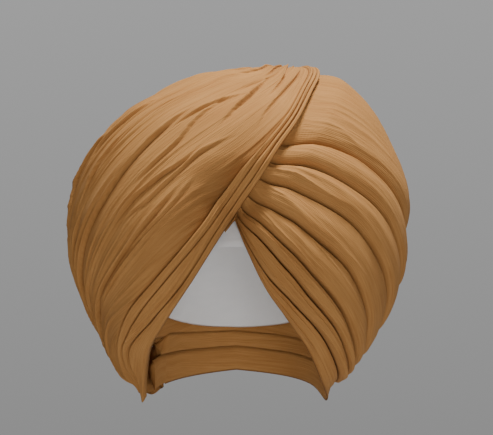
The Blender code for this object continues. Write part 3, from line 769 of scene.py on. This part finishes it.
def secondary_folds(azimuth, share, width, number):
    """Height of the low folds that run along one stacked fold."""
    turn = np.degrees(azimuth)
    from_start = turn - LARH_SPANS[number][0]
    near_start = smooth_step(1 - from_start / FAN_TURNS)
    away_from_end = smooth_step((LARH_SPANS[number][1] - turn) / END_TURNS)
    slant = from_start / SLANT_TURNS * near_start
    across = share * width / FAN_CREST + FAN_BEND * fold_drift(BENDING, turn, share, number) + slant
    sharp = (1 - np.abs(fold_drift(CRESTING, turn, across, number))) ** 3
    strength = np.clip(0.6 + 0.7 * fold_drift(COMING, turn, share, number), 0.1, 1.2)
    height = (FAN_HEIGHT + FAN_START_HEIGHT * near_start) * sharp * strength
    fine = (1 - np.abs(fold_drift(FINE, turn, across, number))) ** 4
    height = height + FINE_HEIGHT * (0.35 + 0.65 * near_start) * fine
    pinch = fold_drift(PINCHING, turn, share + PINCH_SLANT * turn, number)
    height = height - PINCH_DEPTH * np.clip(pinch - PINCH_FROM, 0, 1) * near_start
    height = height + BROAD_HEIGHT * fold_drift(BROAD, turn, share, number) - FOLD_DROP
    return height * smooth_step(share / LIP_PLAIN) * smooth_step((1 - share) / TUCK_PLAIN) * away_from_end


# place across the fold, how far it wanders, height in millimetres
FLAT_CRESTS = ((0.3, 0.1, 1.5), (0.66, 0.12, 1.8))
CREST_BACK = 2.4 * MM
CREST_FRONT = 0.9 * MM
CREST_TURNS, FADE_TURNS = 33, 27
CREST_SEED, FADE_SEED = 90, 95


def sharp_crests(azimuth, share, width, number):
    """Two thin crests that run along each flat fold beside the face."""
    turn = np.degrees(azimuth)
    height = np.zeros(share.shape)
    for line, (middle, wander, size) in enumerate(FLAT_CRESTS):
        place = middle + wander * drift(turn / CREST_TURNS, 3.0 * line + number, CREST_SEED)
        beside = (share - place) * width
        strength = np.clip(0.55 + 0.8 * drift(turn / FADE_TURNS, 5.0 * line + number, FADE_SEED), 0, 1)
        slow = np.exp(-np.clip(-beside, 0, None) / CREST_BACK)
        steep = smooth_step(1 - beside / CREST_FRONT)
        height = height + size * MM * strength * np.where(beside < 0, slow, steep)
    return height * smooth_step(share / 0.1) * smooth_step((1 - share) / 0.08)


# %% Build one stacked fold
LARH_STEP_DEGREES = 0.6
LARH_POINTS = 56
CROWN_POINTS = 110
SCENE_GAP = 0.1 * MM
LIP_CROWDING = 1.35
CROWN_SLOPE, CROWN_TOP, CROWN_TOP_DIP = 0.55, 0.75, 0.15
# Painted shade in the creases: its strength, the dips where it starts and is full, and its curve.
CREASE_SHADE = 0.85
SHADE_FROM, SHADE_FULL, SHADE_CURVE = 0.25, 0.9, 1.3
FLOOR_POINTS = 5
SEATED_FOLDS = 2
THIN_END_DEGREES = 9.0
THIN_END_WALL = 1.0 * MM


def build_larh(number):
    """Sections of one stacked fold, its outside and then its floor, and the painted shade that grows with
    how deep in the crease they lie.
    """
    first, last = LARH_SPANS[number]
    azimuth = np.radians(np.arange(first, last + LARH_STEP_DEGREES / 2, LARH_STEP_DEGREES))[:, None]
    crown = number == len(LARH_SPANS) - 1
    low = crease_rise(number, azimuth)
    high = crease_rise(number + 1, azimuth)
    span = (math.pi / 2 - rim_elevation(azimuth)) * body_radius(azimuth, elevation_at(azimuth, low))
    low = low + SCENE_GAP / 2 / span
    high = high - SCENE_GAP / 2 / span
    width = (high - low) * span
    count = CROWN_POINTS if crown else LARH_POINTS
    share = np.linspace(0, 1, count)[None, :] ** LIP_CROWDING
    rise = low + (high - low) * share
    turns = azimuth + 0 * rise
    elevation = elevation_at(turns, rise)
    crease = np.minimum(CREASE_DEPTH, CREASE_WIDTH_SHARE * width)
    crease = np.minimum(crease, CREASE_DEPTH_SHARE * room(turns, elevation))
    lip = np.minimum(LIP_SHARE, LIP_LENGTH / width)
    dip = fold_dip(share + 0 * turns, lip)
    if crown:
        top = smooth_step((share - CROWN_TOP) / (1 - CROWN_TOP))
        dip = fold_dip(share * CROWN_SLOPE + 0 * turns, lip) + CROWN_TOP_DIP * top
    radius = body_radius(turns, elevation) - press(turns, rise) - crease * dip
    radius = radius + secondary_folds(turns, share, width, number)
    if number <= LAST_FLAT_FOLD:
        radius = radius + sharp_crests(turns, share + 0 * turns, width, number)
    outside = spot(turns, elevation, radius)
    # Painted shade: the colour darkens as the fold dips into its crease, standing in for the shade there;
    # the floor gets none.
    shaded = np.clip((dip - SHADE_FROM) / (SHADE_FULL - SHADE_FROM), 0, 1)
    painted_shade = CREASE_SHADE * shaded ** SHADE_CURVE
    under = np.linspace(1, 0, FLOOR_POINTS)[None, :]
    floor_rise = low + (high - low) * under
    floor_turns = azimuth + 0 * floor_rise
    floor_elevation = elevation_at(floor_turns, floor_rise)
    if number < SEATED_FOLDS:
        floor = seat_radius(floor_turns, floor_elevation)
        thin = smooth_step(1 - (np.radians(last) - azimuth) / np.radians(THIN_END_DEGREES))
        room_left = radius.min(axis=1, keepdims=True) - THIN_END_WALL - floor
        floor = floor + np.clip(room_left, 0, None) * thin
    else:
        floor = larh_floor(floor_turns, floor_rise) + FACET_ROOM * crown
    painted_shade = np.concatenate([painted_shade, 0 * floor], 1)
    return np.concatenate([outside, spot(floor_turns, floor_elevation, floor)], 1), painted_shade


for number in range(len(LARH_SPANS)):
    fold_points, fold_painted_shade = build_larh(number)
    fold = lay_grid(f"larh_{number + 1}_cloth", fold_points, muslin,
                    closed_across=True, ends=True, depth=fold_painted_shade)
    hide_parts(f"larh_{number + 1}")

# %% [markdown]
# ## The outer wrap
#
# The last wrap is a broad single sheet. It fans out from the ear, where all its gathers meet, and
# closes again over the crown. The first ten gathers in the table lie where the long lines of the
# cloth show from the front; the others were laid round the side and the back, and finer ones
# are seeded in between. A gather is not a round ridge: the cloth steps over itself, so one side rises
# slowly and the other drops sharply with a dark slit below it.
# The slits, and the valley beside the pleats, are darkened further by a painted shade in the colour.

# %% Gathers of the outer wrap
EDGE_LIFT = 6 * MM
LIFT_REACH = 0.16
TURN_WINDOW = 0.8

# first and last place along, places across at five even steps between them,
# height, width of the slow side, both in millimetres
GATHERS = np.array([
    (0.06, 0.46, 0.345, 0.32, 0.292, 0.28, 0.288, 3.4, 8.0),
    (0.3, 0.5, 0.215, 0.2, 0.195, 0.225, 0.24, 2.0, 6.0),
    (0.05, 0.34, 0.33, 0.2, 0.142, 0.108, 0.085, 3.0, 7.0),
    (0.24, 0.42, 0.205, 0.188, 0.155, 0.128, 0.128, 2.6, 6.0),
    (0.24, 0.46, 0.205, 0.14, 0.116, 0.11, 0.08, 2.0, 7.0),
    (0.21, 0.37, 0.135, 0.098, 0.078, 0.072, 0.076, 2.0, 6.0),
    (0.44, 0.58, 0.135, 0.155, 0.178, 0.213, 0.255, 3.2, 7.0),
    (0.2, 0.38, 0.47, 0.525, 0.563, 0.57, 0.55, 3.0, 6.0),
    (0.3, 0.46, 0.5, 0.528, 0.516, 0.512, 0.545, 2.6, 6.0),
    (0.4, 0.53, 0.262, 0.258, 0.248, 0.22, 0.16, 2.0, 6.0),
    (0.24, 0.4, 0.395, 0.41, 0.425, 0.43, 0.425, 2.2, 6.0),
    (0.05, 0.27, 0.42, 0.4, 0.385, 0.378, 0.372, 2.0, 8.0),
    (0.03, 0.24, 0.52, 0.5, 0.485, 0.47, 0.455, 2.4, 9.0),
    (0.05, 0.3, 0.64, 0.65, 0.66, 0.66, 0.67, 2.0, 10.0),
    (0.28, 0.6, 0.72, 0.7, 0.69, 0.68, 0.66, 2.4, 10.0),
    (0.06, 0.45, 0.8, 0.81, 0.82, 0.82, 0.83, 2.0, 10.0),
    (0.52, 0.78, 0.11, 0.15, 0.19, 0.23, 0.26, 2.0, 6.0),
    (0.47, 0.66, 0.05, 0.075, 0.08, 0.07, 0.06, 1.8, 5.0),
    (0.5, 0.8, 0.4, 0.42, 0.44, 0.45, 0.45, 2.2, 8.0),
    (0.55, 0.9, 0.29, 0.3, 0.32, 0.33, 0.34, 1.8, 8.0),
    (0.5, 0.88, 0.6, 0.61, 0.62, 0.62, 0.63, 2.0, 9.0),
    (0.58, 0.9, 0.78, 0.77, 0.76, 0.75, 0.74, 2.0, 9.0),
])
STEEP_SIDE = 1.8 * MM
CREST_WIDTH = 1.7 * MM
SLIT_WIDTH = 1.3 * MM
SLIT_SHARE = 0.55
SLIT_BESIDE = 0.5 * MM
HOLLOW_SHARE = 0.25
HOLLOW_BESIDE, HOLLOW_WIDTH = 5 * MM, 4 * MM
SLOW_SHARE = 0.42
GATHER_FADE = 0.06


def main_gathers(along, across, width):
    """Height of the traced gathers; width is the wrap's own width at each place along."""
    height = np.zeros(across.shape)
    for row in GATHERS:
        first, last, size, back = row[0], row[1], row[7] * MM, row[8] * MM
        step = np.clip((along - first) / (last - first), 0, 1)
        middle = through(np.linspace(0, 1, 5), row[2:7], step)
        beside = (across - middle) * width
        fade = smooth_step((along - first) / GATHER_FADE) * smooth_step((last - along) / GATHER_FADE)
        slow = SLOW_SHARE * np.exp(-np.clip(beside, 0, None) / back)
        slow = slow + (1 - SLOW_SHARE) * np.exp(-(beside / CREST_WIDTH) ** 2)
        steep = smooth_step(1 + beside / STEEP_SIDE)
        ridge = np.where(beside > 0, slow, steep)
        slit = np.exp(-((beside + STEEP_SIDE + SLIT_BESIDE) / SLIT_WIDTH) ** 2)
        hollow = np.exp(-((beside + HOLLOW_BESIDE) / HOLLOW_WIDTH) ** 2)
        height = height + size * fade * (ridge - SLIT_SHARE * slit - HOLLOW_SHARE * hollow)
    return height


# number across the wrap, height in millimetres, seed
FINE_GATHERS = ((14, 2.2, 131), (31, 1.3, 132), (66, 0.55, 133))
FINE_PLACE, FINE_BACK, FINE_FRONT = 0.3, 4.5, 0.16
CALM_FROM, CALM_OVER = 0.5, 0.1

# place along, how far the gathers have spread away from the front edge
SPREAD = np.array([
    (0.0, 0.4),
    (0.1, 0.33),
    (0.16, 0.17),
    (0.22, 0.115),
    (0.26, 0.09),
    (0.32, 0.045),
    (0.42, 0.0),
    (1.0, 0.0),
])
SPREAD_REACH = 0.55


def flow(along, across):
    """The line of gathering that a place on the wrap belongs to, from 0 at the front edge to 1."""
    spread = through(SPREAD[:, 0], SPREAD[:, 1], along)
    return across - spread * np.clip(1 - across / SPREAD_REACH, 0, 1)


def fine_gathers(along, across):
    """Seeded low gathers that run straight with the cloth and come and go along it."""
    height = np.zeros(across.shape)
    across = flow(along, across) + 0.5
    for count, size, seed in FINE_GATHERS:
        lines = across * count + 0.4 * drift(along * 4, across * count / 3, seed)
        cell = np.floor(lines)
        beside = lines - cell - FINE_PLACE
        slow = np.exp(-FINE_BACK * np.clip(beside, 0, None))
        steep = smooth_step(1 + beside / FINE_FRONT)
        strength = np.clip(1.9 * drift(along * 5 + cell * 9.1, cell * 3.3, seed + 10) + 0.2, 0, 1)
        height = height + size * MM * strength * np.where(beside > 0, slow, steep)
    return height * (1 - 0.5 * smooth_step((along - CALM_FROM) / CALM_OVER))


# %% Lines along the outer wrap's course
PLEATS = 3
END_TUCK = 12 * MM
END_TUCK_FROM = 0.92


def course_values(column, places):
    return through(np.arange(len(COURSE), dtype=float), COURSE[:, column], places)


def course_line(column, places):
    """Directions along the course: column 0 is the front edge, 2 the middle and 4 the back edge."""
    azimuth = np.radians(COURSE[:, column])
    rows = ray(azimuth, elevation_at(azimuth, COURSE[:, column + 1]))
    return unit(through(np.arange(len(COURSE), dtype=float), rows, places))


def beside_edge(places, distance):
    """Directions at a distance across from the front edge, towards the middle of the wrap."""
    ahead = np.minimum(places + TURN_WINDOW, len(COURSE) - 1)
    behind = np.maximum(places - TURN_WINDOW, 0)
    direction = course_line(0, places)
    across = unit(np.cross(direction, course_line(0, ahead) - course_line(0, behind)))
    azimuth, elevation = angles(direction)
    return unit(direction + across * (distance / body_radius(azimuth, elevation))[:, None])


def pleat_edge(number, places):
    """Distance of a pleat's far edge from the wrap's front edge; number 0 is the front edge itself."""
    if number == 0:
        return 0 * places
    return MM * course_values(5 + number, places)


def tucked(along):
    """How far the wrap's last end sinks in behind the crown fold, where it is tucked away."""
    return END_TUCK * smooth_step((along - END_TUCK_FROM) / (1 - END_TUCK_FROM))


# %% The wrap's grid, closer together where it faces the viewer
FRONT_STATIONS = 250
BACK_STATIONS = 50
FRONT_COLUMNS = 270
BACK_COLUMNS = 60
FRONT_ALONG = 0.60
FRONT_ACROSS = 0.64
MEAN_DROP = 1.2 * MM
LOWEST = -4.6 * MM
BAND_VALLEY = 6.5 * MM
VALLEY_REACH = 42 * MM
VALLEY_FROM, VALLEY_TO, VALLEY_FADE = 0.18, 0.54, 0.14
EDGE_ROUND = 2.5 * MM
FRONT_CALM, BACK_CALM, END_CALM = 4 * MM, 5 * MM, 0.04
MEAN_LENGTH = 0.55
THIN_EDGE, THIN_FROM, THIN_OVER = 0.7, 0.38, 0.12
SLIT_FROM, SLIT_DEPTH = 0.5 * MM, 2 * MM
SLIT_SHADE = 0.6
VALLEY_SHADE = 0.42
MEAN_WIDTH = 0.26


def two_pitches(share, front_count, back_count):
    """Places from 0 to 1, close together up to one share and further apart past it."""
    near = np.linspace(0, share, front_count, endpoint=False)
    return np.concatenate([near, np.linspace(share, 1, back_count)])


def build_outer_wrap():
    """The wrap's points, the same without folds, the painted shade of its slits and valley, and its cloth
    lines.
    """
    places = two_pitches(FRONT_ALONG, FRONT_STATIONS, BACK_STATIONS) * (len(COURSE) - 1)
    front = beside_edge(places, pleat_edge(PLEATS, places) + SCENE_GAP)
    middle = course_line(2, places)
    back = course_line(4, places)
    share = two_pitches(FRONT_ACROSS, FRONT_COLUMNS, BACK_COLUMNS)[None, :, None]
    direction = (front[:, None] * (1 - share) * (1 - 2 * share)
                 + middle[:, None] * 4 * share * (1 - share)
                 + back[:, None] * share * (2 * share - 1))
    azimuth, elevation = angles(direction)
    across = share[..., 0] + 0 * azimuth
    along = (places / places[-1])[:, None] + 0 * azimuth
    body = body_radius(azimuth, elevation)
    plain = spot(azimuth, elevation, body)
    width = np.linalg.norm(np.diff(plain, axis=1), axis=-1).sum(1)[:, None]
    front_lift = EDGE_LIFT * course_values(9, places)[:, None]
    back_lift = EDGE_LIFT * course_values(10, places)[:, None]
    lift = front_lift * smooth_step(1 - across / LIFT_REACH)
    lift = lift + back_lift * smooth_step(1 - (1 - across) / LIFT_REACH)
    from_band = across * width
    calm = smooth_step(from_band / FRONT_CALM) * smooth_step((1 - across) * width / BACK_CALM)
    ends = smooth_step(along / END_CALM) * smooth_step((1 - along) / END_CALM)
    folds = main_gathers(along, across, width) + fine_gathers(along, across)
    height = np.maximum(folds * calm * ends - MEAN_DROP, LOWEST)
    valley = smooth_step(1 - from_band / VALLEY_REACH)
    valley = valley * smooth_step((along - VALLEY_FROM) / VALLEY_FADE)
    valley = valley * smooth_step((VALLEY_TO - along) / VALLEY_FADE)
    radius = body + lift + height - BAND_VALLEY * valley - tucked(along)
    from_ends = np.minimum(along, 1 - along) * MEAN_LENGTH
    edge = np.minimum(np.minimum(across, 1 - across) * width, from_ends)
    drop = OUTER_WALL * (1 - THIN_EDGE * smooth_step((along - THIN_FROM) / THIN_OVER) * (across < 0.5))
    radius = radius - drop * rounded(edge / EDGE_ROUND)
    # Painted shade: the colour darkens in the slits below the gathers and in the valley beside the pleats,
    # where shade falls.
    slit_and_valley_shade = np.clip(-(folds + SLIT_FROM) / SLIT_DEPTH, 0, 1) * calm * SLIT_SHADE
    slit_and_valley_shade = np.maximum(slit_and_valley_shade, VALLEY_SHADE * valley)
    return spot(azimuth, elevation, radius), plain, slit_and_valley_shade, flow(along, across) * MEAN_WIDTH


wrap_points, wrap_plain, wrap_painted_shade, wrap_across = build_outer_wrap()
outer = lay_grid("outer_wrap_cloth", wrap_points, muslin, depth=wrap_painted_shade,
                 cloth_across=wrap_across)
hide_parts("outer_wrap")

# %% [markdown]
# ## The pleats along the edge
#
# The wrap's front edge is laid in narrow pleats before it is drawn tight across the brow. Each pleat
# is a doubled edge that goes in under the next one. Three strips lie side by side. Each has a thin
# crest at its far edge, a broad back with finer crests that come and go, and a slit before the next.

# %% Build the pleats
PLEAT_STATIONS = 460
PLEAT_POINTS = 44
SMALL_PLEAT = 3.6 * MM
PLEAT_DEPTH = 7 * MM
UNDER_SHARES = (1.0, 0.5, 0.0)
MOST_CRESTS = 7
FAR_CREST, FAR_CREST_PLACE, FAR_CREST_WIDTH = 1.0 * MM, 1.3 * MM, 1.1 * MM
BACK_HEIGHT, RIDGE_HEIGHT, PLEAT_DROP = 1.5 * MM, 1.5 * MM, 1.2 * MM
RIDGE_CURVE = 1.6
NEAR_EDGE, NEAR_EDGE_WIDTH = 1.6 * MM, 0.9 * MM
PLEAT_SLIT, SLIT_EDGE_WIDTH, FULL_SLIT_WIDTH = 2.4 * MM, 0.7 * MM, 6 * MM
LOW_SHARE, LOW_FROM, LOW_OVER = 0.6, 0.5, 0.08
RIDGE_SEED, STRENGTH_SEED = 141, 142


def pleat_relief(number, along, share, width):
    """Height of one strip: a thin crest at its far edge, a broad back and finer crests that come and go."""
    from_far = (1 - share) * width
    far_crest = np.exp(-((from_far - FAR_CREST_PLACE) / FAR_CREST_WIDTH) ** 2)
    back = np.sqrt(np.clip(1 - (2 * share - 1) ** 2, 0, 1))
    crests = np.clip(width / SMALL_PLEAT, 1, MOST_CRESTS)
    wave = share * crests + 0.8 * drift(along * 6, share * 1.5 + number * 3.1, RIDGE_SEED)
    ridge = (1 - np.abs(2 * (wave % 1) - 1)) ** RIDGE_CURVE
    strength = 0.45 + 0.75 * drift(along * 9, share * 2.2 + number * 5.7, STRENGTH_SEED)
    ridge = RIDGE_HEIGHT * ridge * np.clip(strength, 0.05, 1.1)
    height = FAR_CREST * far_crest + BACK_HEIGHT * back + ridge - PLEAT_DROP
    height = height * (1 - LOW_SHARE * smooth_step((along - LOW_FROM) / LOW_OVER))
    height = height - NEAR_EDGE * rounded(share * width / NEAR_EDGE_WIDTH)
    slit = PLEAT_SLIT * np.clip(width / FULL_SLIT_WIDTH, 0.4, 1)
    return height - slit * rounded(from_far / SLIT_EDGE_WIDTH)


def build_edge_pleat(number):
    """Rings of one strip, its outside and then its underside, along the whole course."""
    places = np.linspace(0, len(COURSE) - 1, PLEAT_STATIONS)
    along = places / places[-1]
    start = pleat_edge(number, places) + SCENE_GAP / 2
    width = pleat_edge(number + 1, places) - start - SCENE_GAP / 2
    lift = EDGE_LIFT * course_values(9, places) - tucked(along)
    rings = []
    for share in np.linspace(0, 1, PLEAT_POINTS):
        azimuth, elevation = angles(beside_edge(places, start + width * share))
        height = lift + pleat_relief(number, along, share, width)
        rings.append(spot(azimuth, elevation, body_radius(azimuth, elevation) + height))
    for share in UNDER_SHARES:
        azimuth, elevation = angles(beside_edge(places, start + width * share))
        rings.append(spot(azimuth, elevation, body_radius(azimuth, elevation) + lift - PLEAT_DEPTH))
    return np.stack(rings, 1)


for number in range(PLEATS):
    pleat = lay_grid(f"edge_pleat_{number + 1}_cloth", build_edge_pleat(number), muslin,
                     closed_across=True, ends=True)
    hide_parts(f"edge_pleat_{number + 1}")

# %% [markdown]
# ## Floor, light and camera
#
# A plain studio: a pale round floor below the frame, a grey surround that is lighter at the top, a
# soft lamp high above the brow, a broad weaker one low in front and a faint one at the side. The
# camera is a long lens, level with the turban, as in the photograph.

# %% Floor and surround
FLOOR_DROP = 0.45
FLOOR_RADIUS = 1.9
FLOOR_GREY = (0.42, 0.42, 0.42, 1)

bpy.ops.mesh.primitive_circle_add(vertices=128, radius=FLOOR_RADIUS, fill_type="NGON",
                                  location=(0, 0, -FLOOR_DROP))
floor = bpy.context.object
floor.name = "studio_floor"
paint = Tree("studio_paint")
paint.set("Base Color", FLOOR_GREY)
paint.set("Roughness", 0.9)
floor.data.materials.append(paint.material)

AMBIENT_SHARE = 0.6
LOW_GREY, HIGH_GREY = (0.275, 0.275, 0.275, 1), (0.40, 0.40, 0.40, 1)
GREY_REACH = 0.14
world = bpy.data.worlds.new("studio")
bpy.context.scene.world = world
world.use_nodes = True
nodes = world.node_tree.nodes
links = world.node_tree.links
direction = nodes.new("ShaderNodeTexCoord").outputs["Generated"]
parts = nodes.new("ShaderNodeSeparateXYZ")
links.new(direction, parts.inputs[0])
height = nodes.new("ShaderNodeMapRange")
links.new(parts.outputs["Z"], height.inputs["Value"])
height.inputs["From Min"].default_value = -GREY_REACH
height.inputs["From Max"].default_value = GREY_REACH
sky = nodes.new("ShaderNodeMix")
sky.data_type = "RGBA"
links.new(height.outputs[0], sky.inputs["Factor"])
sky.inputs["A"].default_value = LOW_GREY
sky.inputs["B"].default_value = HIGH_GREY
links.new(sky.outputs["Result"], nodes["Background"].inputs["Color"])
seen = nodes.new("ShaderNodeLightPath").outputs["Is Camera Ray"]
strength = nodes.new("ShaderNodeMapRange")
links.new(seen, strength.inputs["Value"])
strength.inputs["To Min"].default_value = AMBIENT_SHARE
links.new(strength.outputs[0], nodes["Background"].inputs["Strength"])


# %% Lamps
LAMPS = (
    ("key", (0.25, -0.3, 1.5), (0, 0, -0.05), 0.45, 42),
    ("fill", (-1.3, -1.2, 0.1), (0, 0, -0.05), 1.2, 1.5),
    ("front", (0.2, -1.9, -0.4), (0, 0, -0.08), 1.0, 19),
)


def soft_lamp(name, place, aim, size, power):
    """A round lamp of a size in metres and a power in watts, turned to what it lights."""
    lamp = bpy.data.lights.new(name, "AREA")
    lamp.shape = "DISK"
    lamp.size = size
    lamp.energy = power
    holder = bpy.data.objects.new(name, lamp)
    holder.location = place
    direction = np.array(aim) - np.array(place)
    holder.rotation_mode = "QUATERNION"
    holder.rotation_quaternion = Vector(direction).to_track_quat("-Z", "Y")
    bpy.context.scene.collection.objects.link(holder)
    return holder


for lamp_row in LAMPS:
    soft_lamp(*lamp_row)

# %% Camera
VIEW_WIDTH = 0.414
VIEW_CENTRE = (0.0092, -0.0284)
VIEW_DISTANCE = 1.55
SENSOR = 36

eye = bpy.data.cameras.new("camera")
eye.sensor_width = SENSOR
eye.lens = SENSOR * VIEW_DISTANCE / VIEW_WIDTH
camera = bpy.data.objects.new("camera", eye)
camera.location = (VIEW_CENTRE[0], -VIEW_DISTANCE, VIEW_CENTRE[1])
camera.rotation_euler = (math.pi / 2, 0, 0)
bpy.context.scene.collection.objects.link(camera)
bpy.context.scene.camera = camera
